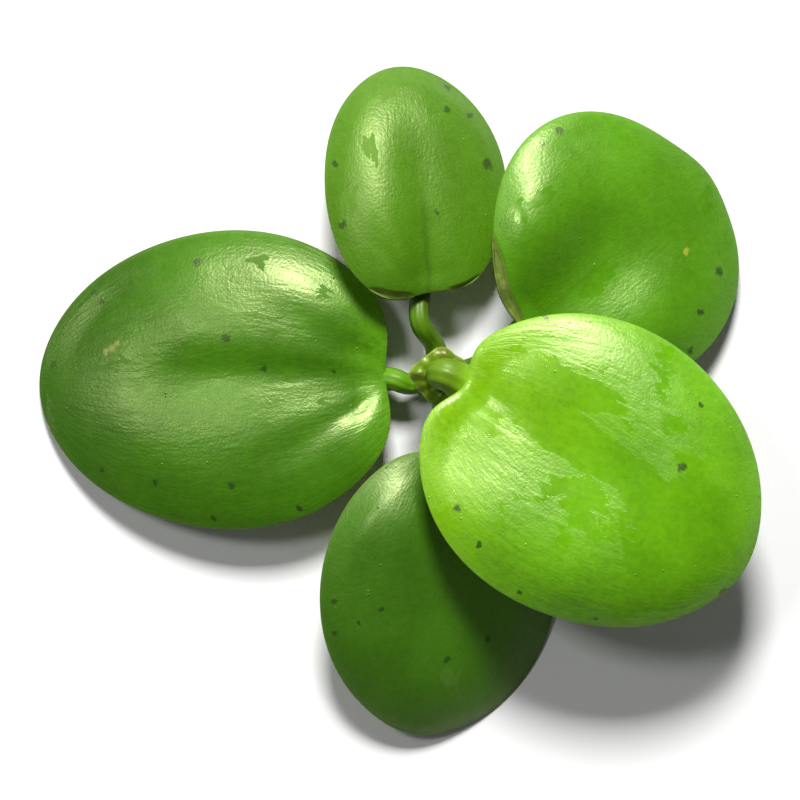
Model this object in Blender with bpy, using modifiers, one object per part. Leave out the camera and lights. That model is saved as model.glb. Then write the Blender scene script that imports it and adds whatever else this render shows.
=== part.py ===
"""A small floating frogbit plant, picked and laid on a flat surface.

Five thick leaves stand round a squat crown. +Z is up, +Y is the top of the picture that the plant
is seen in from above, and the origin is the middle of the crown's flat underside.
"""

import math

import bmesh
import bpy
from mathutils import Matrix, Vector
from mathutils.geometry import interpolate_bezier

MM = 0.001
GAP = 0.3 * MM  # left between pieces that grow from each other

# The crown: a squat turned stem that stands on its flat cut base.
CROWN_RADIUS = 1.9 * MM
CROWN_BASE_RADIUS = 1.45 * MM
CROWN_TOP_RADIUS = 1.15 * MM
CROWN_HEIGHT = 4.4 * MM
CROWN_STEPS = 24

# The sheath: a thin open collar round the newest leaf's stalk, four-cornered at its rim.
SHEATH_CENTRE = Vector((0.22, 0.12, 4.0)) * MM
SHEATH_WALL = 0.3 * MM
SHEATH_FOOT_RADIUS = 2.0 * MM
SHEATH_RIM_RADIUS = 2.12 * MM
SHEATH_BULGE = 0.12 * MM
SHEATH_LOW_RIM = 2.5 * MM
SHEATH_HIGH_RIM = 3.9 * MM
SHEATH_HIGH_SIDE = math.radians(110)
SHEATH_CORNER = 0.5 * MM
SHEATH_CORNERS = (28.0, 84.0, 172.0, 264.0)  # azimuths of the rim's corners, in degrees
SHEATH_CORNER_SPREAD = math.radians(24)
SHEATH_SIDES = 32
SHEATH_RINGS = 4

# Every leaf is one rounded body. Its margin is an oval with a notch at the stalk and a slight
# point, its top a dome with a valley and a broad trough along the midrib, and its underside a
# spongy pad. The dome's crest may lean along or across the leaf. The trough has its own width on
# the left and the right of the midrib, and ends at a share of the way to the tip.
LEAF_TURNS = 32
LEAF_RINGS = 16
EDGE = 0.55 * MM  # thickness of the thin rim outside the pad
POINT_SPREAD = 0.3
RIM_RISE = math.radians(22.5)  # this far round the underside is rim, and the rest is pad
PAD_AT_TIP = 0.85  # the pad's reach as a share of the margin's
PAD_EASE = math.radians(30)
PAD_NOTCH = 0.09
PAD_ROUND = 0.75
TROUGH_EASE = 0.6
MARGIN_EASE = 0.2
VALLEY_SHARP = 1.3

# Centres, lengths and depths are in millimetres, and angles in degrees. The azimuth is where the
# tip points, pitch lowers the tip, and roll raises the side on the left of the tip.
LEAVES = {
    "left": {
        "centre": (-18.69, -0.05, 3.1), "azimuth": 181.9, "pitch": 7.0, "roll": 6.0,
        "half_length": 16.11, "half_width": 13.20, "taper": -0.014, "lean": -0.007, "skew": 0.002,
        "notch": 1.73, "notch_spread": 0.27, "point": 0.25, "margin_roll": 0.5,
        "dome": 2.2, "valley": 1.0, "valley_width": 0.30, "fullness": 2.4,
        "crest_along": -0.3, "crest_across": 0.0,
        "trough": 0.65, "trough_widths": (7.0, 3.0), "trough_to": 0.6,
        "pad": 2.6, "pad_at_base": 0.95, "pad_turn": 60, "colour": (0.060, 0.190, 0.008),
    },
    "top": {
        "centre": (-1.80, 16.75, 4.2), "azimuth": 98.0, "pitch": 12.0, "roll": 14.0,
        "half_length": 11.01, "half_width": 8.20, "taper": 0.002, "lean": -0.028, "skew": 0.014,
        "notch": 1.63, "notch_spread": 0.32, "point": 0.2, "margin_roll": 0.4,
        "dome": 1.7, "valley": 0.5, "valley_width": 0.22, "fullness": 2.4,
        "crest_along": 0.0, "crest_across": 0.6,
        "trough": 0.3, "trough_widths": (2.0, 2.0), "trough_to": -0.1,
        "pad": 2.2, "pad_at_base": 1.05, "pad_turn": 41, "colour": (0.080, 0.220, 0.010),
    },
    "top_right": {
        "centre": (15.60, 11.06, 5.7), "azimuth": 41.0, "pitch": 17.0, "roll": 10.0,
        "half_length": 11.25, "half_width": 12.33, "taper": 0.020, "lean": 0.014, "skew": -0.022,
        "notch": 0.75, "notch_spread": 0.25, "point": 0.5, "margin_roll": 0.4,
        "dome": 1.8, "valley": 1.1, "valley_width": 0.32, "fullness": 2.8,
        "crest_along": -0.4, "crest_across": 0.2,
        "trough": 1.2, "trough_widths": (3.0, 6.0), "trough_to": 0.45,
        "pad": 2.8, "pad_at_base": 0.99, "pad_turn": 58, "colour": (0.085, 0.270, 0.010),
    },
    "right": {
        "centre": (13.21, -8.05, 10.8), "azimuth": -33.7, "pitch": 2.0, "roll": -1.0,
        "half_length": 15.20, "half_width": 12.95, "taper": -0.013, "lean": 0.014, "skew": -0.004,
        "notch": 1.80, "notch_spread": 0.18, "point": 0.35, "margin_roll": 0.5,
        "dome": 2.2, "valley": 0.7, "valley_width": 0.30, "fullness": 2.8,
        "crest_along": 0.5, "crest_across": 0.1,
        "trough": 0.7, "trough_widths": (6.0, 8.0), "trough_to": 0.5,
        "pad": 1.8, "pad_at_base": 0.92, "pad_turn": 50, "colour": (0.210, 0.510, 0.010),
    },
    "bottom": {
        "centre": (0.32, -18.46, 3.8), "azimuth": 259.9, "pitch": 8.0, "roll": -15.0,
        "half_length": 12.87, "half_width": 10.71, "taper": 0.003, "lean": 0.019, "skew": 0.000,
        "notch": 1.52, "notch_spread": 0.28, "point": 0.45, "margin_roll": 0.4,
        "dome": 2.0, "valley": 0.5, "valley_width": 0.26, "fullness": 2.4,
        "crest_along": 0.3, "crest_across": -0.3,
        "trough": 0.3, "trough_widths": (2.5, 2.5), "trough_to": 0.0,
        "pad": 2.3, "pad_at_base": 0.95, "pad_turn": 50, "colour": (0.050, 0.150, 0.008),
    },
}

# Each stalk is one bend from the crown to its leaf. It starts at an azimuth round the crown and
# leaves along another with an upward slope. It arrives at its leaf along a third, to one side of
# the midrib. A reach is how strongly each end of the bend keeps to its own direction.
STALKS = {
    "left": {
        "azimuth": 192.0, "height": 2.4, "leave": 182.0, "slope": 22.0, "reach": 0.9,
        "arrive": 178.0, "side": 0.3, "leaf_reach": 0.9,
        "radius": 0.92, "leaf_radius": 1.0, "colour": (0.095, 0.280, 0.004),
    },
    "top": {
        "azimuth": 88.0, "height": 2.5, "leave": 130.0, "slope": 24.0, "reach": 1.9,
        "arrive": 80.0, "side": 0.9, "leaf_reach": 2.2,
        "radius": 0.9, "leaf_radius": 0.84, "colour": (0.085, 0.190, 0.004),
    },
    "top_right": {
        "azimuth": 14.0, "height": 2.6, "leave": 20.0, "slope": 30.0, "reach": 2.2,
        "arrive": 48.0, "side": 0.0, "leaf_reach": 1.8,
        "radius": 0.9, "leaf_radius": 0.95, "colour": (0.085, 0.190, 0.004),
    },
    "bottom": {
        "azimuth": 283.0, "height": 2.4, "leave": 283.0, "slope": 20.0, "reach": 1.8,
        "arrive": 262.0, "side": 0.0, "leaf_reach": 2.0,
        "radius": 0.88, "leaf_radius": 0.9, "colour": (0.095, 0.230, 0.004),
    },
    "right": {
        "azimuth": 0.0, "height": 4.7, "leave": 0.0, "slope": 90.0, "reach": 4.2,
        "arrive": -30.0, "side": 0.2, "leaf_reach": 1.9,
        "radius": 1.25, "leaf_radius": 1.4, "colour": (0.150, 0.330, 0.006),
        "elbow": True,
    },
}
ELBOW_VOXEL = 0.36 * MM  # the bend of a stalk with an elbow is tighter than the stalk is thick
STALK_RINGS = 12
STALK_BESIDE = 1.6  # how far beside the midrib a leaf's base is measured, in stalk radii
STALK_IN_SHEATH = 0.5 * MM  # how far to +X of the crown's axis the newest stalk stands

# The roots leave the crown in two rows and lie on the surface in a fan beneath the raised leaf.
# Their azimuths are in degrees, where they leave the crown and where they end.
ROOT_COUNT = 8
ROOT_FIRST = (-74.0, -52.0)
ROOT_LAST = (6.0, 6.0)
ROOT_ROWS = (0.0, 1.15)  # height of the two rows over the surface, in millimetres
ROOT_START_RADIUS = 0.28 * MM
ROOT_HAIR_RADIUS = 0.48 * MM  # over the short side hairs, which thicken the outer half
ROOT_END_RADIUS = 0.16 * MM
ROOT_HAIRS_FROM = 0.3
ROOT_HAIRS_FULL = 0.65
ROOT_LENGTHS = (17.0, 19.5, 22.0, 24.0, 22.8, 23.6, 21.0, 18.5)
ROOT_SWAY = math.radians(2.2)
ROOT_TURNED_BY = 0.45  # the share of its way by which a root has turned to its end's azimuth
ROOT_DOWN_BY = 0.24
ROOT_POINTS = 14


def new_material(name, colour, roughness):
    material = bpy.data.materials.new(name)
    material.use_nodes = True
    shader = material.node_tree.nodes["Principled BSDF"]
    shader.inputs["Base Color"].default_value = (*colour, 1.0)
    shader.inputs["Roughness"].default_value = roughness
    shader.inputs["Metallic"].default_value = 0.0
    material.diffuse_color = (*colour, 1.0)
    return material


def new_object(name, data, material, collection):
    data.materials.append(material)
    made = bpy.data.objects.new(name, data)
    collection.objects.link(made)
    return made


def mesh_of(name, shape):
    bmesh.ops.recalc_face_normals(shape, faces=shape.faces)
    mesh = bpy.data.meshes.new(name)
    shape.to_mesh(mesh)
    shape.free()
    mesh.shade_smooth()
    return mesh


def smooth_step(value):
    value = min(max(value, 0.0), 1.0)
    return value * value * (3 - 2 * value)


def margin_radius(leaf, turn):
    """Distance from a leaf's middle to its margin, at an angle from the tip."""
    length = leaf["half_length"]
    width = leaf["half_width"]
    oval = length * width / math.hypot(width * math.cos(turn), length * math.sin(turn))
    shape = 1 - leaf["taper"] * math.cos(3 * turn)
    shape += leaf["lean"] * math.sin(2 * turn) + leaf["skew"] * math.sin(3 * turn)
    from_stalk = (math.pi - abs(turn)) / leaf["notch_spread"]
    from_tip = turn / POINT_SPREAD
    notch = leaf["notch"] * math.exp(-(from_stalk**2))
    point = leaf["point"] * math.exp(-(from_tip**2))
    return (oval * shape - notch + point) * MM


def pad_reach(leaf, turn):
    """How far the pad goes out under the leaf, as a share of the margin's distance."""
    from_stalk = math.pi - abs(turn)
    to_base = smooth_step((math.radians(leaf["pad_turn"]) - from_stalk) / PAD_EASE)
    notch = PAD_NOTCH * math.exp(-((from_stalk / leaf["notch_spread"]) ** 2))
    return PAD_AT_TIP + (leaf["pad_at_base"] - PAD_AT_TIP) * to_base - notch


def rim_height(leaf, u, v, share):
    """How far the leaf's middle sheet is bent down: the rolled margin and the midrib's valley."""
    across = v / (leaf["half_width"] * MM) / leaf["valley_width"]
    to_base = 0.5 - 0.5 * u / (leaf["half_length"] * MM)
    valley = leaf["valley"] * math.exp(-(abs(across) ** VALLEY_SHARP)) * smooth_step(0.15 + to_base)
    return -(valley + leaf["margin_roll"] * share**4) * MM


def crest_height(leaf, u, v, share):
    """How far the top rises over the middle sheet. The share is 0 at the middle, 1 at the margin."""
    along = u / (leaf["half_length"] * MM)
    across = v / (leaf["half_width"] * MM)
    lean = 1 + leaf["crest_along"] * along + leaf["crest_across"] * across
    width = leaf["trough_widths"][0 if v > 0 else 1] * MM
    trough = leaf["trough"] * math.exp(-((abs(v) / width) ** VALLEY_SHARP))
    trough *= smooth_step((leaf["trough_to"] - along) / TROUGH_EASE)
    trough *= smooth_step((1 - share) / MARGIN_EASE)
    return (leaf["dome"] * (1 - share ** leaf["fullness"]) * lean - trough) * MM


def leaf_point(leaf, turn, rise):
    """A point of a leaf in its own frame, +X to the tip and Z = 0 at the unrolled margin.

    The rise is 90 degrees at the middle of the top, 0 at the margin and -90 degrees at the
    middle of the pad.
    """
    margin = margin_radius(leaf, turn)
    if rise >= 0:
        share = math.cos(rise)
        u = margin * share * math.cos(turn)
        v = margin * share * math.sin(turn)
        crest = crest_height(leaf, u, v, share) + EDGE * 0.5 * math.sin(rise) ** 0.8
        return Vector((u, v, rim_height(leaf, u, v, share) + crest))
    rim = smooth_step(-rise / RIM_RISE)
    share = 1 + (pad_reach(leaf, turn) - 1) * rim
    depth = EDGE * rim
    if -rise > RIM_RISE:
        bulge = (-rise - RIM_RISE) / (math.pi / 2 - RIM_RISE) * math.pi / 2
        share *= max(math.cos(bulge), 0.0) ** PAD_ROUND
        depth += leaf["pad"] * MM * math.sin(bulge) ** PAD_ROUND
    u = margin * share * math.cos(turn)
    v = margin * share * math.sin(turn)
    bend = rim_height(leaf, margin * math.cos(turn), margin * math.sin(turn), 1)
    return Vector((u, v, bend * (1 - math.sin(-rise) ** 2) - depth))


def leaf_matrix(leaf):
    place = Vector(leaf["centre"]) * MM
    turned = Matrix.Rotation(math.radians(leaf["azimuth"]), 4, "Z")
    pitched = Matrix.Rotation(math.radians(leaf["pitch"]), 4, "Y")
    rolled = Matrix.Rotation(math.radians(leaf["roll"]), 4, "X")
    return Matrix.Translation(place) @ turned @ pitched @ rolled


def make_leaf(name, leaf, collection):
    """A sphere's grid of points, each moved to its place on the leaf. It is flat where it lies."""
    shape = bmesh.new()
    bmesh.ops.create_uvsphere(shape, u_segments=LEAF_TURNS, v_segments=LEAF_RINGS, radius=1)
    matrix = leaf_matrix(leaf)
    for vertex in shape.verts:
        turn = math.atan2(vertex.co.y, vertex.co.x)
        rise = math.asin(min(max(vertex.co.z, -1), 1))
        placed = matrix @ leaf_point(leaf, turn, rise)
        placed.z = max(placed.z, 0)
        vertex.co = matrix.inverted() @ placed
    material = new_material(f"{name}_green", leaf["colour"], 0.35)
    made = new_object(name, mesh_of(name, shape), material, collection)
    made.matrix_world = matrix
    return made


def tube(name, path, radii, sides, material, collection):
    """A round tube with closed ends along a path of points, with its own radius at each."""
    curve = bpy.data.curves.new(name, "CURVE")
    curve.dimensions = "3D"
    curve.bevel_depth = 1.0
    curve.bevel_resolution = sides // 2 - 2
    curve.use_fill_caps = True
    spline = curve.splines.new("POLY")
    spline.points.add(len(path) - 1)
    for point, place, radius in zip(spline.points, path, radii):
        point.co = (*place, 1)
        point.radius = radius
    spline.use_smooth = True
    return new_object(name, curve, material, collection)


def heading(azimuth, slope=0.0):
    """A unit vector along an azimuth and an upward slope, both in degrees."""
    turn = math.radians(azimuth)
    rise = math.radians(slope)
    return Vector((math.cos(turn) * math.cos(rise), math.sin(turn) * math.cos(rise), math.sin(rise)))


def stand_off(radius, direction, square):
    """The gap to leave at a tube's end that isn't square to what it grows from."""
    return GAP + radius * MM * math.sin(direction.angle(square))


def stalk_path(stalk, leaf):
    """The bend of a stalk, from just off the crown to just short of its leaf's notch."""
    leaves = heading(stalk["leave"], stalk["slope"])
    arrives = heading(stalk["arrive"], -leaf["pitch"])
    outward = heading(stalk["azimuth"])
    foot = outward * (CROWN_RADIUS + stand_off(stalk["radius"], leaves, outward))
    if stalk["height"] * MM > CROWN_HEIGHT:
        foot = Vector((STALK_IN_SHEATH, 0, 0))
    start = foot + Vector((0, 0, stalk["height"] * MM))
    beside = math.pi - STALK_BESIDE * stalk["leaf_radius"] / leaf["half_length"]
    base = margin_radius(leaf, beside) * max(1, pad_reach(leaf, beside))
    bend = rim_height(leaf, -base, 0, 1)
    base += stand_off(stalk["leaf_radius"], arrives, heading(leaf["azimuth"], -leaf["pitch"]))
    end = leaf_matrix(leaf) @ Vector((-base, stalk["side"] * MM, bend - EDGE * 0.5))
    first = start + leaves * stalk["reach"] * MM
    second = end - arrives * stalk["leaf_reach"] * MM
    return interpolate_bezier(start, first, second, end, STALK_RINGS)


def make_stalk(name, stalk, leaf, collection):
    path = stalk_path(stalk, leaf)
    last = len(path) - 1
    change = stalk["leaf_radius"] - stalk["radius"]
    radii = [(stalk["radius"] + change * k / last) * MM for k in range(len(path))]
    material = new_material(f"{name}_green", stalk["colour"], 0.4)
    made = tube(name, path, radii, 8, material, collection)
    if "elbow" in stalk:
        one_skin = made.modifiers.new("one_skin", "REMESH")
        one_skin.mode = "VOXEL"
        one_skin.voxel_size = ELBOW_VOXEL
        one_skin.use_smooth_shade = True
    return made


def root_radius(along):
    """Thin at the crown, thickened by its side hairs further out, and tapered at the end."""
    hairy = smooth_step((along - ROOT_HAIRS_FROM) / (ROOT_HAIRS_FULL - ROOT_HAIRS_FROM))
    end = smooth_step((along - ROOT_HAIRS_FULL) / (1 - ROOT_HAIRS_FULL))
    radius = ROOT_START_RADIUS + (ROOT_HAIR_RADIUS - ROOT_START_RADIUS) * hairy
    return radius + (ROOT_END_RADIUS - radius) * end


def make_root(number, collection):
    """One root, which comes down to the surface, sways a little and tapers to its end."""
    share = number / (ROOT_COUNT - 1)
    first = math.radians(ROOT_FIRST[0] + (ROOT_LAST[0] - ROOT_FIRST[0]) * share)
    last = math.radians(ROOT_FIRST[1] + (ROOT_LAST[1] - ROOT_FIRST[1]) * share)
    row = ROOT_ROWS[number % 2] * MM
    foot = CROWN_RADIUS + GAP if row else CROWN_BASE_RADIUS + 2 * GAP
    path = []
    radii = []
    for k in range(ROOT_POINTS):
        along = k / (ROOT_POINTS - 1)
        radius = root_radius(along)
        turn = first + (last - first) * smooth_step(along / ROOT_TURNED_BY)
        turn += ROOT_SWAY * math.sin(2.5 * math.pi * along + number) * along
        reach = foot + ROOT_LENGTHS[number] * MM * along
        height = radius + row * (1 - smooth_step(along / ROOT_DOWN_BY))
        path.append(Vector((reach * math.cos(turn), reach * math.sin(turn), height)))
        radii.append(radius)
    material = new_material(f"root_{number + 1}_cream", (0.50, 0.48, 0.28), 0.6)
    return tube(f"root_{number + 1}", path, radii, 6, material, collection)


def make_crown(collection):
    """A turned profile, from the middle of the top down the side to the middle of the base."""
    profile = [
        (0, CROWN_HEIGHT),
        (CROWN_TOP_RADIUS * 0.8, CROWN_HEIGHT),
        (CROWN_TOP_RADIUS, CROWN_HEIGHT - 0.2 * MM),
        (CROWN_RADIUS * 0.7, CROWN_HEIGHT * 0.86),
        (CROWN_RADIUS * 0.97, CROWN_HEIGHT * 0.7),
        (CROWN_RADIUS, CROWN_HEIGHT * 0.5),
        (CROWN_RADIUS * 0.94, CROWN_HEIGHT * 0.22),
        (CROWN_BASE_RADIUS, 0.12 * MM),
        (CROWN_BASE_RADIUS - 0.12 * MM, 0),
        (0, 0),
    ]
    mesh = bpy.data.meshes.new("crown")
    edges = [(k, k + 1) for k in range(len(profile) - 1)]
    mesh.from_pydata([(radius, 0, height) for radius, height in profile], edges, [])
    made = new_object("crown", mesh, new_material("crown_green", (0.16, 0.24, 0.02), 0.55), collection)
    screw = made.modifiers.new("turn", "SCREW")
    screw.steps = CROWN_STEPS
    screw.render_steps = CROWN_STEPS
    screw.use_merge_vertices = True
    screw.merge_threshold = 0.01 * MM
    return made


def corner_share(turn, azimuth):
    """How much of a corner's reach the rim has, at a turn from it."""
    away = (turn - azimuth + math.pi) % (2 * math.pi) - math.pi
    return math.exp(-((away / SHEATH_CORNER_SPREAD) ** 2))


def make_sheath(collection):
    """An open collar, higher on one side, whose rim draws out into soft corners."""
    shape = bmesh.new()
    bmesh.ops.create_grid(shape, x_segments=SHEATH_SIDES, y_segments=SHEATH_RINGS, size=1)
    for vertex in shape.verts:
        turn = (vertex.co.x + 1) * math.pi
        up = (vertex.co.y + 1) / 2
        side = 0.5 + 0.5 * math.cos(turn - SHEATH_HIGH_SIDE)
        corner = sum(corner_share(turn, math.radians(azimuth)) for azimuth in SHEATH_CORNERS)
        height = SHEATH_LOW_RIM + (SHEATH_HIGH_RIM - SHEATH_LOW_RIM) * side
        radius = SHEATH_FOOT_RADIUS + (SHEATH_RIM_RADIUS - SHEATH_FOOT_RADIUS) * up
        radius += SHEATH_BULGE * math.sin(math.pi * up) + SHEATH_CORNER * corner * up**2
        vertex.co = (radius * math.cos(turn), radius * math.sin(turn), height * up)
    bmesh.ops.remove_doubles(shape, verts=shape.verts, dist=0.01 * MM)
    material = new_material("sheath_olive", (0.20, 0.30, 0.03), 0.3)
    made = new_object("sheath", mesh_of("sheath", shape), material, collection)
    made.location = SHEATH_CENTRE
    wall = made.modifiers.new("wall", "SOLIDIFY")
    wall.thickness = SHEATH_WALL
    wall.offset = -1
    return made


def main():
    for stale in list(bpy.data.objects):
        bpy.data.objects.remove(stale)
    collection = bpy.data.collections.new("frogbit")
    bpy.context.scene.collection.children.link(collection)
    make_crown(collection)
    make_sheath(collection)
    for name, leaf in LEAVES.items():
        make_leaf(f"leaf_{name}", leaf, collection)
        make_stalk(f"stalk_{name}", STALKS[name], leaf, collection)
    for number in range(ROOT_COUNT):
        make_root(number, collection)


main()
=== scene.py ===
import math
import random

import bmesh
import bpy
import numpy as np
from mathutils import Matrix, Vector, noise
from mathutils.geometry import interpolate_bezier


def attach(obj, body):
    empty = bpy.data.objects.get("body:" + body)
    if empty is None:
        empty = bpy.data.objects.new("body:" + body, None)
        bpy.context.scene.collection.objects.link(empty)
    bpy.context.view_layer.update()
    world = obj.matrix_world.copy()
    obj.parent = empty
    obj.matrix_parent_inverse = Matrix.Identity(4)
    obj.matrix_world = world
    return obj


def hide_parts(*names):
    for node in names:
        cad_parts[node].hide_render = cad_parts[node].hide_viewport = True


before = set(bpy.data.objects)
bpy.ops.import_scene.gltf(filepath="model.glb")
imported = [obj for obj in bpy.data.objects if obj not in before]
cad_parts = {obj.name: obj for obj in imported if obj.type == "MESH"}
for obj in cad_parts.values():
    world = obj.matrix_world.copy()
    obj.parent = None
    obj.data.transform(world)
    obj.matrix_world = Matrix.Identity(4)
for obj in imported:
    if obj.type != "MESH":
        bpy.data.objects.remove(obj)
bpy.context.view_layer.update()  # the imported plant, one node for each piece, in metres
mm = 0.001
random.seed(11)
print("frame loaded:", len(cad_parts), "nodes")


class Value:
    # a shader socket that takes part in sums as a number does
    def __init__(self, finish, socket):
        self.finish = finish
        self.socket = socket

    def sum(self, operation, first, second=0.0):
        return self.finish.node("ShaderNodeMath", {"operation": operation}, {0: first, 1: second})

    def __add__(self, other):
        return self.sum("ADD", self, other)

    def __sub__(self, other):
        return self.sum("SUBTRACT", self, other)

    def __rsub__(self, other):
        return self.sum("SUBTRACT", other, self)

    def __mul__(self, other):
        return self.sum("MULTIPLY", self, other)

    def __truediv__(self, other):
        return self.sum("DIVIDE", self, other)

    def __pow__(self, other):
        return self.sum("POWER", self, other)

    def __rpow__(self, other):
        return self.sum("POWER", other, self)

    def __abs__(self):
        return self.sum("ABSOLUTE", self)

    def atLeast(self, other):
        return self.sum("MAXIMUM", self, other)

    __radd__ = __add__
    __rmul__ = __mul__


class Finish:
    # one material: its main shader, and the nodes that feed it; places are in millimetres
    def __init__(self, name, constants):
        self.material = bpy.data.materials.new(name)
        self.material.use_nodes = True
        self.tree = self.material.node_tree
        self.shader = self.tree.nodes["Principled BSDF"]
        self.feed(self.shader, constants)
        place = self.node("ShaderNodeTexCoord", {}, {}, "Object")
        self.spot = self.node("ShaderNodeVectorMath", {"operation": "SCALE"}, {0: place, "Scale": 1 / mm})

    def feed(self, node, values):
        for key, value in values.items():
            socket = node.inputs[key]
            if isinstance(value, Value):
                self.tree.links.new(value.socket, socket)
            elif socket.type == "RGBA":
                socket.default_value = (*value, 1)
            else:
                socket.default_value = value

    def node(self, kind, settings, values, output=0):
        made = self.tree.nodes.new(kind)
        for key, value in settings.items():
            setattr(made, key, value)
        self.feed(made, values)
        if isinstance(output, tuple):
            return [Value(self, made.outputs[key]) for key in output]
        return Value(self, made.outputs[output])

    def mottle(self, scale, detail=2.0, spot=None, roughness=0.5):  # soft noise, about 0.5 on average
        values = {"Vector": spot or self.spot, "Scale": scale, "Detail": detail, "Roughness": roughness}
        return self.node("ShaderNodeTexNoise", {}, values)

    def cells(self, scale, spot=None):  # the distance to the nearest of many scattered points
        values = {"Vector": spot or self.spot, "Scale": scale}
        return self.node("ShaderNodeTexVoronoi", {}, values, "Distance")

    def fade(self, value, low, high):  # 0 at low and 1 at high, either way round
        values = {"Value": value, "From Min": low, "From Max": high}
        return self.node("ShaderNodeMapRange", {"interpolation_type": "SMOOTHSTEP"}, values)

    def mix(self, share, first, second):
        return self.node("ShaderNodeMix", {"data_type": "RGBA"}, {0: share, 6: first, 7: second}, 2)

    def wobbled(self, place, scale, reach):  # the place, shaken by up to half the reach
        values = {"Vector": self.spot, "Scale": scale, "Detail": 3}
        shake = self.node("ShaderNodeTexNoise", {}, values, "Color")
        shake = self.node("ShaderNodeVectorMath", {"operation": "SUBTRACT"}, {0: shake, 1: (0.5, 0.5, 0.5)})
        shake = self.node("ShaderNodeVectorMath", {"operation": "SCALE"}, {0: shake, "Scale": reach})
        return self.node("ShaderNodeVectorMath", {"operation": "ADD"}, {0: place, 1: shake})

    def relief(self, height):  # the height is in millimetres
        bump = self.node("ShaderNodeBump", {}, {"Height": height, "Distance": mm})
        self.feed(self.shader, {"Normal": bump})


def smoothStep(value):
    value = np.clip(value, 0, 1)
    return value * value * (3 - 2 * value)


def finishPiece(name, shape, finish, node):
    mesh = bpy.data.meshes.new(name)
    shape.to_mesh(mesh)
    shape.free()
    mesh.shade_smooth()
    mesh.materials.append(finish.material)
    piece = bpy.data.objects.new(name, mesh)
    bpy.context.scene.collection.objects.link(piece)
    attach(piece, "root")
    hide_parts(node)
    return piece


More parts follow.
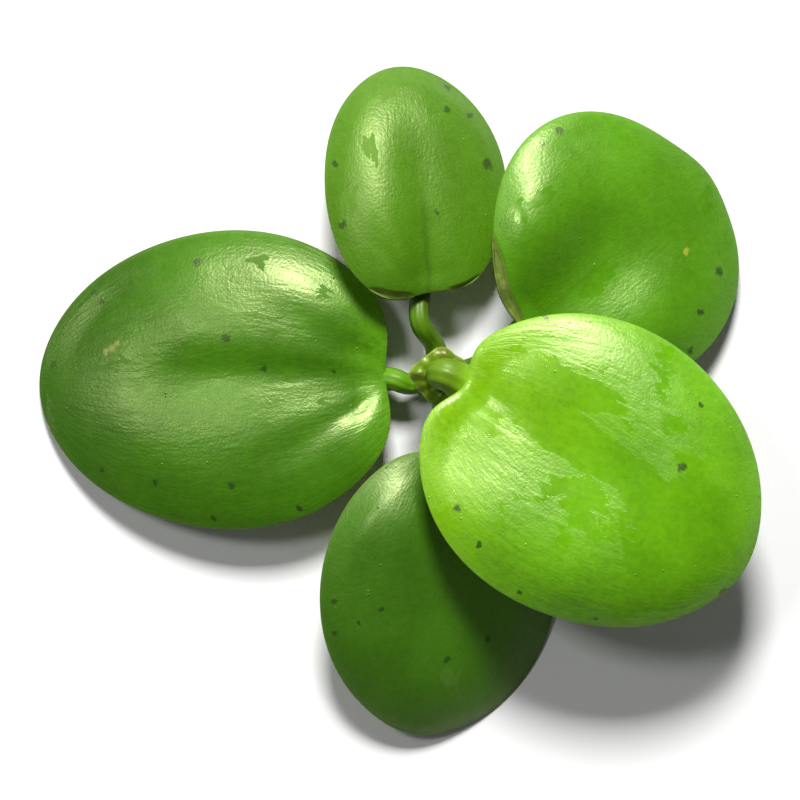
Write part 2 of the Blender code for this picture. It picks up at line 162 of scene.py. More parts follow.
# The leaves. Lengths are in millimetres and angles in degrees: the azimuth is where the tip points,
# pitch lowers the tip, and roll raises the side on the left of the tip. The margin is an oval with a
# notch at the stalk and a slight point. Along the midrib runs a narrow valley in a broad trough, and
# ribSoft rounds its bottom. Pleats fan out from the stalk (angle, spread, height, length), swells are
# bumps or hollows (along, across, half length, half width, height), and padShows is where the pad
# shows beyond the blade (angle, spread, reach).
# Fresh is the colour at the stalk, as far as freshTo. The skin's roughness is rough, and patchRough
# in its patches, of which there are more with a lower patchFrom. Grain and streak are the heights of
# its relief, and gloss and sheen the strength and colour of what it reflects.
# The tip shade and the rib shade are painted shade: they darken the leaf's outer end and the midrib's crease,
# where the light falls away.
leaves = {
    "left": {
        "centre": (-18.69, -0.05, 3.1), "azimuth": 181.9, "pitch": 7.0, "roll": 6.0,
        "halfLength": 16.11, "halfWidth": 13.2, "taper": -0.014, "lean": -0.007, "skew": 0.002,
        "notch": 1.73, "notchSpread": 0.27, "point": 0.25, "marginRoll": 0.5,
        "dome": 2.2, "valley": 1.0, "valleyWidth": 0.3, "fullness": 2.4,
        "crestAlong": -0.3, "crestAcross": 0.0,
        "trough": 0.65, "troughWidths": (7.0, 3.0), "troughTo": 0.6,
        "pad": 2.6, "padAtBase": 0.95, "padTurn": 60,
        "deep": (0.033, 0.118, 0.001), "light": (0.048, 0.170, 0.002),
        "fresh": (0.100, 0.300, 0.004), "freshTo": -0.55,
        "patchFrom": 0.66, "rough": 0.345, "patchRough": 0.70, "grain": 0.029,
        "gloss": 0.75, "sheen": (0.88, 1.0, 0.46), "streak": 0.035, "paintedTipShade": 0.45,
        "ribSoft": 0.8, "ribPaintedShade": 0.25,
        "pleats": [
            (-10, 9, 0.35, 24), (5, 8, 0.16, 22), (-29, 7, -0.12, 22), (33, 8, -0.26, 20), (55, 8, 0.10, 16)],
        "padShows": [],
        "swells": [(12.0, -6.0, 5.0, 5.0, -0.40)],
        "slot": "leaf",
    },
    "top": {
        "centre": (-1.8, 16.75, 4.2), "azimuth": 98.0, "pitch": 12.0, "roll": 14.0,
        "halfLength": 11.01, "halfWidth": 8.2, "taper": 0.002, "lean": -0.028, "skew": 0.014,
        "notch": 1.63, "notchSpread": 0.32, "point": 0.2, "marginRoll": 0.4,
        "dome": 1.7, "valley": 0.5, "valleyWidth": 0.22, "fullness": 2.4,
        "crestAlong": 0.0, "crestAcross": 0.6,
        "trough": 0.3, "troughWidths": (2.0, 2.0), "troughTo": -0.1,
        "pad": 2.2, "padAtBase": 1.05, "padTurn": 41,
        "deep": (0.051, 0.154, 0.001), "light": (0.070, 0.205, 0.002),
        "fresh": (0.056, 0.160, 0.002), "freshTo": -0.6,
        "patchFrom": 0.66, "rough": 0.42, "patchRough": 0.70, "grain": 0.042,
        "gloss": 0.85, "sheen": (0.90, 1.0, 0.48), "streak": 0.015, "paintedTipShade": 0.0,
        "ribSoft": 0.5, "ribPaintedShade": 0.5,
        "pleats": [(24, 7, 0.10, 14), (38, 6, -0.08, 14)],
        "padShows": [(160, 10, 0.50), (-160, 9, 0.25)],
        "swells": [(4.0, 3.5, 5.0, 4.0, 0.15), (7.5, -3.0, 5.0, 5.0, 0.35)],
        "slot": "leaf",
    },
    "top_right": {
        "centre": (15.6, 11.06, 5.7), "azimuth": 41.0, "pitch": 17.0, "roll": 10.0,
        "halfLength": 11.25, "halfWidth": 12.33, "taper": 0.02, "lean": 0.014, "skew": -0.022,
        "notch": 0.75, "notchSpread": 0.25, "point": 0.5, "marginRoll": 0.4,
        "dome": 1.8, "valley": 1.1, "valleyWidth": 0.32, "fullness": 2.8,
        "crestAlong": -0.4, "crestAcross": 0.2,
        "trough": 1.2, "troughWidths": (3.0, 6.0), "troughTo": 0.45,
        "pad": 2.8, "padAtBase": 0.99, "padTurn": 58,
        "deep": (0.059, 0.196, 0.001), "light": (0.084, 0.278, 0.003),
        "fresh": (0.062, 0.200, 0.002), "freshTo": -0.7,
        "patchFrom": 0.66, "rough": 0.37, "patchRough": 0.25, "grain": 0.034,
        "gloss": 0.85, "sheen": (0.88, 1.0, 0.48), "streak": 0.010, "paintedTipShade": 0.0,
        "ribSoft": 2.5, "ribPaintedShade": 0.15,
        "pleats": [],
        "padShows": [(160, 21, 0.80)],
        "swells": [(-1.5, -6.4, 4.5, 4.5, 0.75), (3.0, 8.4, 4.0, 4.0, -0.30), (-6.4, 6.2, 4.2, 3.6, 0.60)],
        "slot": "leaf",
    },
    "right": {
        "centre": (13.21, -8.05, 10.8), "azimuth": -33.7, "pitch": 2.0, "roll": -1.0,
        "halfLength": 15.2, "halfWidth": 12.95, "taper": -0.013, "lean": 0.014, "skew": -0.004,
        "notch": 1.8, "notchSpread": 0.18, "point": 0.35, "marginRoll": 0.5,
        "dome": 2.2, "valley": 0.7, "valleyWidth": 0.3, "fullness": 2.8,
        "crestAlong": 0.5, "crestAcross": 0.1,
        "trough": 0.7, "troughWidths": (6.0, 8.0), "troughTo": 0.5,
        "pad": 1.8, "padAtBase": 0.92, "padTurn": 50,
        "deep": (0.088, 0.285, 0.001), "light": (0.142, 0.410, 0.002),
        "fresh": (0.232, 0.485, 0.004), "freshTo": 0.1,
        "patchFrom": 0.54, "rough": 0.39, "patchRough": 0.22, "grain": 0.038,
        "gloss": 0.95, "sheen": (0.98, 1.0, 0.60), "streak": 0.068, "paintedTipShade": 0.0,
        "ribSoft": 1.2, "ribPaintedShade": 0.1,
        "pleats": [],
        "padShows": [],
        "swells": [
            (-2.0, -8.5, 8.0, 4.0, 0.55), (-10.8, -4.6, 4.0, 3.2, -0.50), (-11.0, -1.0, 4.5, 3.0, 0.15)],
        "slot": "young_leaf",
    },
    "bottom": {
        "centre": (0.32, -18.46, 3.8), "azimuth": 259.9, "pitch": 8.0, "roll": -15.0,
        "halfLength": 12.87, "halfWidth": 10.71, "taper": 0.003, "lean": 0.019, "skew": 0.000,
        "notch": 1.52, "notchSpread": 0.28, "point": 0.45, "marginRoll": 0.4,
        "dome": 2.0, "valley": 0.5, "valleyWidth": 0.26, "fullness": 2.4,
        "crestAlong": 0.3, "crestAcross": -0.3,
        "trough": 0.3, "troughWidths": (2.5, 2.5), "troughTo": 0.0,
        "pad": 2.3, "padAtBase": 0.95, "padTurn": 50,
        "deep": (0.031, 0.116, 0.001), "light": (0.045, 0.155, 0.003),
        "fresh": (0.050, 0.145, 0.003), "freshTo": -0.7,
        "patchFrom": 0.75, "rough": 0.40, "patchRough": 0.70, "grain": 0.032,
        "gloss": 0.85, "sheen": (0.90, 1.0, 0.50), "streak": 0.015, "paintedTipShade": 0.0,
        "ribSoft": 1.0, "ribPaintedShade": 0.2,
        "pleats": [],
        "padShows": [],
        "swells": [(-5.5, -4.5, 4.0, 7.5, 0.75)],
        "slot": "leaf",
    },
}

# What every leaf shares. The size of a lump or cell is the distance between neighbours.
leafForm = {
    "turns": 256, "rings": 128,
    "edge": 0.55, "pointSpread": 0.3, "rimRise": math.radians(22.5),
    "padStep": 0.45, "padAtTip": 0.85, "padEase": math.radians(30), "padNotch": 0.09, "padRound": 0.75,
    "troughEase": 0.6, "marginEase": 0.2,
    "valleySharp": 1.3,
    "lumps": 0.10, "lumpSize": 5.5, "cellSize": 0.8, "cellDepth": 0.07,
    "mapSize": 40.0,
}

# Small marks on each leaf: along it and across it from its middle, half size, all in mm, and kind.
marks = {
    "left": [
        (10.3, -2.6, 0.38, "tan"), (9.8, -2.95, 0.42, "tan"), (9.35, -3.3, 0.36, "tan"),
        (10.7, -7.2, 0.40, "dark"), (2.0, -10.3, 0.45, "dark"),
        (-3.9, -0.6, 0.40, "dark"), (-0.8, 9.5, 0.40, "dark"), (-6.5, 11.5, 0.35, "dark"),
        (1.0, 12.2, 0.40, "dark"), (6.1, 9.0, 0.35, "dark"), (10.9, 7.8, 0.35, "dark"),
        (-9.8, -0.3, 0.30, "dark"), (-0.6, -3.4, 0.50, "dark"),
    ],
    "top": [
        (8.9, -4.1, 0.50, "dark"), (6.0, -5.7, 0.45, "dark"), (6.5, -3.5, 0.45, "dark"),
        (1.5, -6.6, 0.65, "dark"), (-2.9, -1.2, 0.35, "dark"), (2.5, 7.0, 0.40, "dark"),
        (-3.0, 7.1, 0.40, "dark"),
    ],
    "top_right": [
        (2.5, 11.3, 0.55, "dark"), (0.6, 11.3, 0.40, "dark"), (-10.0, 4.5, 0.50, "dark"),
        (6.3, -7.4, 0.60, "dark"), (2.5, -8.9, 0.45, "dark"), (-0.2, -11.0, 0.45, "dark"),
        (4.8, -4.0, 0.40, "gold"), (11.3, 2.7, 0.55, "brown"), (11.6, 1.5, 0.60, "brown"),
        (11.8, 0.2, 0.50, "brown"),
    ],
    "right": [
        (6.1, 4.5, 0.55, "dark"), (-10.5, 8.9, 0.35, "dark"), (-7.9, -9.0, 0.45, "dark"),
        (-4.6, -10.6, 0.40, "dark"), (0.7, -12.0, 0.35, "dark"), (7.3, -10.4, 0.35, "dark"),
        (4.5, 9.9, 0.35, "dark"),
    ],
    "bottom": [
        (2.1, -5.4, 0.35, "dark"), (3.6, -7.1, 0.35, "dark"), (9.7, 8.2, 0.55, "gold"),
        (3.5, 4.5, 0.40, "dark"), (2.2, -9.4, 0.40, "dark"), (5.0, -8.8, 0.40, "dark"),
        (5.8, 1.3, 0.45, "dark"),
    ],
}
# Places where the skin is smoother or duller than around it: along and across the leaf, half length
# and half width, in mm, and the turn of the long side from the midrib, in degrees.
skinPatches = {
    "left": [(-3.6, -10.0, 0.9, 0.6, 0), (-9.0, -7.4, 0.6, 0.8, 0), (-9.5, 2.6, 0.5, 0.8, 0)],
    "top": [(8.7, 1.6, 1.0, 0.8, 0), (3.1, 4.0, 1.1, 0.7, 0), (-0.9, 6.2, 0.9, 0.6, 0)],
    "top_right": [(-3.0, 8.2, 1.3, 0.8, 0), (-5.4, 8.2, 1.2, 0.7, 60), (-3.2, -0.8, 2.0, 1.0, 10)],
    "right": [
        (-3.5, 1.6, 8.5, 2.1, -2), (-5.2, 5.0, 4.5, 1.6, 12), (3.5, 1.4, 5.0, 1.8, -8),
        (9.5, -1.0, 4.5, 6.0, 0), (-11.8, -1.0, 3.2, 2.6, 0),
    ],
    "bottom": [(7.4, 1.9, 1.3, 0.9, 40)],
}
markColours = {
    "dark": (0.010, 0.036, 0.004), "tan": (0.185, 0.200, 0.045),
    "gold": (0.330, 0.360, 0.030), "brown": (0.110, 0.065, 0.040),
}


def marginRadius(leaf, turn):
    length = leaf["halfLength"]
    width = leaf["halfWidth"]
    oval = length * width / np.hypot(width * np.cos(turn), length * np.sin(turn))
    shape = 1 - leaf["taper"] * np.cos(3 * turn)
    shape = shape + leaf["lean"] * np.sin(2 * turn) + leaf["skew"] * np.sin(3 * turn)
    notch = leaf["notch"] * np.exp(-(((math.pi - np.abs(turn)) / leaf["notchSpread"]) ** 2))
    point = leaf["point"] * np.exp(-((turn / leafForm["pointSpread"]) ** 2))
    return oval * shape - notch + point


def padReach(leaf, turn):
    fromStalk = math.pi - np.abs(turn)
    toBase = smoothStep((math.radians(leaf["padTurn"]) - fromStalk) / leafForm["padEase"])
    notch = leafForm["padNotch"] * np.exp(-((fromStalk / leaf["notchSpread"]) ** 2))
    return leafForm["padAtTip"] + (leaf["padAtBase"] - leafForm["padAtTip"]) * toBase - notch


def besideRib(leaf, v):
    # the distance from the midrib, rounded off close to it
    return np.sqrt(v**2 + leaf["ribSoft"] ** 2) - leaf["ribSoft"]


def rimHeight(leaf, u, v, share):
    across = besideRib(leaf, v) / leaf["halfWidth"] / leaf["valleyWidth"]
    toBase = 0.5 - 0.5 * u / leaf["halfLength"]
    valley = leaf["valley"] * np.exp(-(across ** leafForm["valleySharp"])) * smoothStep(0.15 + toBase)
    return -(valley + leaf["marginRoll"] * share**4)


def topRelief(leaf, u, v, share):
    # the trough along the midrib, pleats that fan out from the stalk, and swellings; all fade at the margin
    along = u / leaf["halfLength"]
    size = leafForm["lumpSize"]
    seed = leaf["azimuth"]
    lumps = np.array([noise.noise(Vector((a / size, b / size, seed))) for a, b in zip(u, v)])
    width = np.where(v > 0, *leaf["troughWidths"])
    trough = leaf["trough"] * np.exp(-((besideRib(leaf, v) / width) ** leafForm["valleySharp"]))
    relief = leafForm["lumps"] * lumps
    relief = relief - trough * smoothStep((leaf["troughTo"] - along) / leafForm["troughEase"])
    fan = np.degrees(np.arctan2(v, u + leaf["halfLength"]))
    reach = np.hypot(v, u + leaf["halfLength"])
    for angle, spread, height, end in leaf["pleats"]:
        pleat = height * np.exp(-(((fan - angle) / spread) ** 2))
        relief = relief + pleat * smoothStep(reach / 5) * smoothStep((end - reach) / 9)
    for u0, v0, length, width, height in leaf["swells"]:
        relief = relief + height * np.exp(-(((u - u0) / length) ** 2 + ((v - v0) / width) ** 2))
    return relief * smoothStep((1 - share) / leafForm["marginEase"])


def padRelief(u, v, bulge):
    # the spongy underside's round cells
    size = leafForm["cellSize"]
    depth = [noise.voronoi(Vector((a / size, b / size, 0)))[0][0] for a, b in zip(u, v)]
    return leafForm["cellDepth"] * np.clip(np.array(depth), 0, 0.8) * smoothStep(bulge * 4)


def padShows(leaf, turn):
    # how far the pad shows beyond the blade, in mm, at an angle from the tip
    width = 0 * turn
    for middle, spread, reach in leaf["padShows"]:
        width = width + reach * np.exp(-(((np.degrees(turn) - middle) / spread) ** 4))
    return width


def leafSurface(leaf, turn, rise):
    # a point of a leaf in its own frame: a rise of 90 degrees is its top's middle, and 0 its margin
    margin = marginRadius(leaf, turn)
    cosine = np.cos(turn)
    sine = np.sin(turn)
    share = np.cos(np.maximum(rise, 0))
    u = margin * share * cosine
    v = margin * share * sine
    lean = 1 + leaf["crestAlong"] * u / leaf["halfLength"] + leaf["crestAcross"] * v / leaf["halfWidth"]
    crest = leaf["dome"] * (1 - share ** leaf["fullness"]) * lean
    crest = crest + leafForm["edge"] * 0.5 * np.sin(np.maximum(rise, 0)) ** 0.8
    shows = padShows(leaf, turn)
    step = leafForm["padStep"] * smoothStep((shows - margin * (1 - share)) / 0.2 + 0.5)
    step = step * smoothStep((shows - 0.04) / 0.25)
    top = np.stack([u, v, rimHeight(leaf, u, v, share) + crest + topRelief(leaf, u, v, share) - step], 1)
    down = np.maximum(-rise, 0)
    rim = smoothStep(down / leafForm["rimRise"])
    bulge = np.clip((down - leafForm["rimRise"]) / (math.pi / 2 - leafForm["rimRise"]), 0, 1) * math.pi / 2
    share = (1 + (padReach(leaf, turn) - 1) * rim) * np.maximum(np.cos(bulge), 0) ** leafForm["padRound"]
    depth = leafForm["edge"] * rim + leaf["pad"] * np.sin(bulge) ** leafForm["padRound"]
    u = margin * share * cosine
    v = margin * share * sine
    bend = rimHeight(leaf, margin * cosine, margin * sine, 1)
    under = np.stack([u, v, bend * (1 - np.sin(down) ** 2) - depth + padRelief(u, v, bulge)], 1)
    return np.where((rise >= 0)[:, None], top, under)


def leafMatrix(leaf):
    turned = Matrix.Rotation(math.radians(leaf["azimuth"]), 4, "Z")
    pitched = Matrix.Rotation(math.radians(leaf["pitch"]), 4, "Y")
    rolled = Matrix.Rotation(math.radians(leaf["roll"]), 4, "X")
    return Matrix.Translation(Vector(leaf["centre"])) @ turned @ pitched @ rolled


ball = bpy.data.meshes.new("ball")  # the grid of points that each leaf starts from
ballShape = bmesh.new()
bmesh.ops.create_uvsphere(ballShape, u_segments=leafForm["turns"], v_segments=leafForm["rings"], radius=1)
ballShape.to_mesh(ball)
ballShape.free()


def makeLeaf(name, leaf):
    # each point of the ball is moved to its place on the leaf, which is flat where the leaf lies
    shape = bmesh.new()
    shape.from_mesh(ball)
    place = np.array([vertex.co for vertex in shape.verts])
    piece = finishPiece(f"leafBlade_{name}", shape, leafFinish(name, leaf), f"leaf_{name}")
    turn = np.arctan2(place[:, 1], place[:, 0])
    rise = np.arcsin(np.clip(place[:, 2], -1, 1))
    rise[np.abs(rise) < 0.001] = 0  # the ball's middle ring is exactly the margin
    local = leafSurface(leaf, turn, rise)
    matrix = np.array(leafMatrix(leaf))
    placed = local @ matrix[:3, :3].T + matrix[:3, 3]
    placed[:, 2] = np.maximum(placed[:, 2], 0)
    mesh = piece.data
    mesh.vertices.foreach_set("co", (placed * mm).ravel())
    shell = 1 - rise * 2 / math.pi  # 0 in the middle of the top, 1 at the margin and more beneath
    shows = padShows(leaf, turn)
    beyond = (shows - marginRadius(leaf, turn) * (1 - np.cos(rise))) / 0.15
    onPad = np.where(beyond > -1, np.maximum(shell, 1 + 0.12 * np.clip(beyond, -1, 1)), shell)
    shell = shell + (onPad - shell) * smoothStep((shows - 0.04) / 0.15)
    mesh.attributes.new("shell", "FLOAT", "POINT").data.foreach_set("value", shell)
    corners = np.empty(len(mesh.loops), int)
    mesh.loops.foreach_get("vertex_index", corners)
    flat = local[corners, :2] / leafForm["mapSize"] + 0.5
    mesh.uv_layers.new(name="leafPlace").uv.foreach_set("vector", flat.ravel())
    mesh.update()


leafLook = {
    "lineTurns": 14, "lineShare": 0.06, "mottleShare": 1.6, "freshShare": 0.72, "freshChange": 1.5,
    "speckShare": 0.6, "markShare": 0.82, "ribShadeWidth": 0.10, "tear": 5.0, "rimWidth": 0.035,
    "roughChange": 0.24, "edgeRough": 0.20, "patchRelief": 0.28, "beadRelief": 0.05,
    "padColour": (0.115, 0.178, 0.020), "padDark": (0.060, 0.072, 0.014), "padLight": (0.185, 0.255, 0.040),
    "edgeColour": (0.230, 0.270, 0.040),
}


def leafFinish(name, leaf):
    finish = Finish(f"leaf_{name}_skin", {
        "IOR": 1.5, "Specular IOR Level": leaf["gloss"], "Specular Tint": leaf["sheen"]})
    across = finish.node("ShaderNodeUVMap", {"uv_map": "leafPlace"}, {})
    u, v = finish.node("ShaderNodeSeparateXYZ", {}, {0: across}, ("X", "Y"))
    u = (u - 0.5) * leafForm["mapSize"]
    v = (v - 0.5) * leafForm["mapSize"]
    flat = finish.node("ShaderNodeCombineXYZ", {}, {"X": u, "Y": v})
    shell = finish.node("ShaderNodeAttribute", {"attribute_name": "shell"}, {}, "Fac")
    top = finish.fade(shell, 1.03, 0.97)

    # colour: deep and light green in soft patches, fresher near the stalk, with faint arching lines; painted
    # shade darkens the tip and the midrib's crease
    along = u / leaf["halfLength"]
    arch = (1 - along * along).atLeast(0.03) ** 0.5
    vein = v / leaf["halfWidth"] / arch
    wave = abs(vein) * leafLook["lineTurns"] + (finish.mottle(0.3, 2) - 0.5) * 3
    lines = finish.node("ShaderNodeMath", {"operation": "SINE"}, {0: wave})
    broad = finish.fade(finish.mottle(0.14, 3), 0.35, 0.65)
    fine = finish.mottle(1.7, 5, roughness=0.65)
    light = broad * 0.6 + (fine - 0.5) * leafLook["mottleShare"] + 0.2 + lines * leafLook["lineShare"]
    green = finish.mix(light, leaf["deep"], leaf["light"])
    fresh = finish.fade(along + (finish.mottle(0.2, 2) - 0.5) * 0.5, leaf["freshTo"], -1.0)
    fresh = fresh * top * (leafLook["freshShare"] + (fine - 0.5) * leafLook["freshChange"])
    green = finish.mix(fresh, green, leaf["fresh"])
    # painted shade: the colour darkens towards the tip, standing in for the shade where the leaf's outer end
    # tilts away from the light
    tip = finish.fade(along + (finish.mottle(0.2, 2) - 0.5) * 0.4, 0.1, 0.8)
    green = finish.mix(tip * leaf["paintedTipShade"], green, markColours["dark"])
    # painted shade: the colour darkens along the midrib's crease towards the base, standing in for the shade
    # in the groove
    aside = v + (finish.mottle(0.35, 2) - 0.5) * 0.9
    paintedRibShade = math.e ** (aside * aside / -leafLook["ribShadeWidth"])
    paintedRibShade = paintedRibShade * finish.fade(along + finish.mottle(0.5, 2) * 0.3, 0.3, -0.3)
    green = finish.mix(paintedRibShade * top * leaf["ribPaintedShade"] * 0.6, green, markColours["dark"])

    # dark specks near the margin, and the marks, whose borders are ragged
    speck = finish.cells(0.42, finish.wobbled(finish.spot, 2.0, 0.5))
    chosen = finish.fade(finish.mottle(0.9, 0), 0.60, 0.64)
    speck = finish.fade(speck, 0.22, 0.10) * chosen * finish.fade(shell, 0.55, 0.85)
    green = finish.mix(speck * leafLook["speckShare"], green, markColours["dark"])
    shaken = finish.wobbled(flat, 1.6, 0.9)
    for u0, v0, size, kind in marks[name]:
        values = {0: shaken, 1: (u0, v0, 0)}
        away = finish.node("ShaderNodeVectorMath", {"operation": "DISTANCE"}, values, "Value")
        mark = finish.fade(away, size, size * 0.45) * top * leafLook["markShare"]
        green = finish.mix(mark, green, markColours[kind])

    # the margin's thin pale line, and the olive underside with its round cells
    cell = finish.cells(1 / leafForm["cellSize"], flat)
    under = finish.mix(finish.fade(cell, 0.15, 0.6), leafLook["padLight"], leafLook["padColour"])
    under = finish.mix(finish.fade(finish.mottle(0.5, 3), 0.5, 0.75) * 0.75, under, leafLook["padDark"])
    colour = finish.mix(top, under, green)
    away = (shell - 1.0) / leafLook["rimWidth"]
    colour = finish.mix(math.e ** (away * away * -1) * 0.55, colour, leafLook["edgeColour"])

    # sheen: a satin skin of fine streaks, with patches whose borders are sharp and torn
    comb = finish.node("ShaderNodeCombineXYZ", {}, {"X": u * 0.40, "Y": vein * leaf["halfWidth"] * 1.5})
    comb = finish.mottle(1.0, 3, comb) - 0.5
    torn = finish.node("ShaderNodeCombineXYZ", {}, {"X": u + comb * leafLook["tear"], "Y": v})
    torn = finish.wobbled(torn, 0.55, 1.5)
    patch = finish.fade(finish.mottle(0.15, 5, torn, 0.6), leaf["patchFrom"], leaf["patchFrom"] + 0.01)
    for u0, v0, length, width, turn in skinPatches[name]:
        values = {"Vector": torn, "Location": (u0, v0, 0), "Rotation": (0, 0, math.radians(turn)),
                  "Scale": (length, width, 1)}
        place = finish.node("ShaderNodeMapping", {"vector_type": "TEXTURE"}, values)
        away = finish.node("ShaderNodeVectorMath", {"operation": "LENGTH"}, {0: place}, "Value")
        patch = patch.atLeast(finish.fade(away, 1.0, 0.97))
    flow = finish.node("ShaderNodeCombineXYZ", {}, {"X": u * 0.9, "Y": vein * leaf["halfWidth"] * 2.8})
    grain = finish.mottle(1.3, 4, flow) * 0.6 + finish.mottle(4.0, 3) * 0.8 - 0.7
    rough = leaf["rough"] + (finish.mottle(0.8, 4) - 0.5) * leafLook["roughChange"]
    rough = rough + patch * top * (leaf["patchRough"] - leaf["rough"])
    rough = rough + finish.fade(shell, 0.80, 0.94) * leafLook["edgeRough"]
    bead = finish.fade(finish.cells(0.75), 0.10, 0.02) * finish.fade(finish.mottle(0.6, 0), 0.58, 0.60)
    folds = grain * leaf["grain"] + comb * leaf["streak"]
    folds = folds * (1 - patch * (1 - leafLook["patchRelief"]))
    finish.relief(folds + bead * top * leafLook["beadRelief"])
    finish.feed(finish.shader, {"Base Color": colour, "Roughness": rough})
    return finish


for leafName, leafValues in leaves.items():
    makeLeaf(leafName, leafValues)
print("leaves made")


# The stalks repeat the solids' bends, but run on into the crown and the leaf's base. Dip lowers the
# stalk's end under the leaf, flare thickens it there, and end is its colour.
crownRadius = 1.9
crownHeight = 4.4
gap = 0.3
stalks = {
    "left": {
        "azimuth": 192.0, "height": 2.4, "leave": 182.0, "slope": 22.0, "reach": 0.9,
        "arrive": 178.0, "side": 0.3, "leafReach": 0.9, "radius": 0.92, "leafRadius": 1.0,
        "deep": (0.085, 0.240, 0.003), "light": (0.120, 0.300, 0.005), "end": (0.080, 0.250, 0.003),
        "intoLeaf": 1.9, "dip": 0.8, "flare": 0.15, "slot": "stalk",
    },
    "top": {
        "azimuth": 88.0, "height": 2.5, "leave": 130.0, "slope": 24.0, "reach": 1.9,
        "arrive": 80.0, "side": 0.9, "leafReach": 2.2, "radius": 0.9, "leafRadius": 0.84,
        "deep": (0.070, 0.165, 0.003), "light": (0.100, 0.220, 0.005), "end": (0.050, 0.115, 0.003),
        "intoLeaf": 1.9, "dip": 1.5, "flare": 0.0, "slot": "stalk",
    },
    "top_right": {
        "azimuth": 14.0, "height": 2.6, "leave": 20.0, "slope": 30.0, "reach": 2.2,
        "arrive": 48.0, "side": 0.0, "leafReach": 1.8, "radius": 0.9, "leafRadius": 0.95,
        "deep": (0.065, 0.150, 0.005), "light": (0.100, 0.210, 0.008), "end": (0.065, 0.160, 0.004),
        "intoLeaf": 1.9, "dip": 0.8, "flare": 0.0, "slot": "stalk",
    },
    "bottom": {
        "azimuth": 283.0, "height": 2.4, "leave": 283.0, "slope": 20.0, "reach": 1.8,
        "arrive": 262.0, "side": 0.0, "leafReach": 2.0, "radius": 0.88, "leafRadius": 0.9,
        "deep": (0.065, 0.170, 0.005), "light": (0.100, 0.240, 0.008), "end": (0.060, 0.160, 0.004),
        "intoLeaf": 1.9, "dip": 0.8, "flare": 0.0, "slot": "stalk",
    },
    "right": {
        "azimuth": 0.0, "height": 4.7, "leave": 0.0, "slope": 90.0, "reach": 4.2,
        "arrive": -30.0, "side": 0.2, "leafReach": 1.9, "radius": 1.25, "leafRadius": 1.4,
        "deep": (0.098, 0.200, 0.003), "light": (0.135, 0.268, 0.005), "end": (0.225, 0.470, 0.005),
        "intoLeaf": 3.0, "dip": 1.5, "flare": 0.35, "slot": "young_stalk",
    },
}
stalkForm = {
    "sides": 40, "rings": 56, "passes": 40, "beside": 1.6, "inSheath": 0.5, "intoCrown": 0.9,
    "ribs": 9, "ribHeight": 0.03, "foot": 0.18, "footEnd": 0.14, "flareFrom": 0.22, "round": 0.07,
}


def heading(azimuth, slope=0.0):
    turn = math.radians(azimuth)
    rise = math.radians(slope)
    return Vector((math.cos(turn) * math.cos(rise), math.sin(turn) * math.cos(rise), math.sin(rise)))


def standOff(radius, direction, square):
    return gap + radius * math.sin(direction.angle(square))


def stalkPath(stalk, leaf, rings, intoCrown, intoLeaf):
    leaving = heading(stalk["leave"], stalk["slope"])
    arriving = heading(stalk["arrive"], -leaf["pitch"])
    outward = heading(stalk["azimuth"])
    foot = outward * (crownRadius + standOff(stalk["radius"], leaving, outward))
    if stalk["height"] > crownHeight:
        foot = Vector((stalkForm["inSheath"], 0, 0))
    start = foot + Vector((0, 0, stalk["height"]))
    beside = math.pi - stalkForm["beside"] * stalk["leafRadius"] / leaf["halfLength"]
    base = marginRadius(leaf, beside) * max(1, padReach(leaf, beside))
    bend = rimHeight(leaf, -base, 0, 1)
    base += standOff(stalk["leafRadius"], arriving, heading(leaf["azimuth"], -leaf["pitch"]))
    end = leafMatrix(leaf) @ Vector((-base, stalk["side"], bend - leafForm["edge"] / 2))
    first = start + leaving * stalk["reach"]
    second = end - arriving * stalk["leafReach"]
    path = interpolate_bezier(start, first, second, end, rings)
    root = start - leaving * intoCrown
    if stalk["height"] < crownHeight:
        root = outward * (crownRadius - intoCrown) + Vector((0, 0, stalk["height"] - 0.2))
    return [root, *path, end + arriving * intoLeaf]


def evenPath(path, count, passes):
    # the same path with even steps, rounded off a little more by each pass
    points = np.array(path)
    walked = np.concatenate([[0], np.cumsum(np.linalg.norm(np.diff(points, axis=0), axis=1))])
    steps = np.linspace(0, walked[-1], count)
    points = np.stack([np.interp(steps, walked, points[:, axis]) for axis in range(3)], 1)
    for _ in range(passes):
        points[1:-1] = (points[:-2] + points[1:-1] * 2 + points[2:]) / 4
    return [Vector(point) for point in points]


def tubeShape(path, radii, sides, mapName):
    # a sheet rolled round the path; a radius of nothing at an end closes it
    shape = bmesh.new()
    shape.loops.layers.uv.new(mapName)
    rings = len(path) - 1
    bmesh.ops.create_grid(shape, x_segments=sides, y_segments=rings, size=1, calc_uvs=True)
    sideways = Vector((0.13, 0.21, 1)).cross(path[1] - path[0]).normalized()
    frames = []
    for k, place in enumerate(path):
        ahead = (path[min(k + 1, rings)] - path[max(k - 1, 0)]).normalized()
        sideways = (sideways - ahead * sideways.dot(ahead)).normalized()
        frames.append((place, sideways.copy(), ahead.cross(sideways)))
    for vertex in shape.verts:
        turn = (vertex.co.x + 1) * math.pi
        k = round((vertex.co.y + 1) / 2 * rings)
        place, across, up = frames[k]
        radius = radii(k / rings, turn)
        vertex.co = (place + (across * math.cos(turn) + up * math.sin(turn)) * radius) * mm
    bmesh.ops.remove_doubles(shape, verts=shape.verts, dist=0.002 * mm)
    bmesh.ops.recalc_face_normals(shape, faces=shape.faces)
    return shape


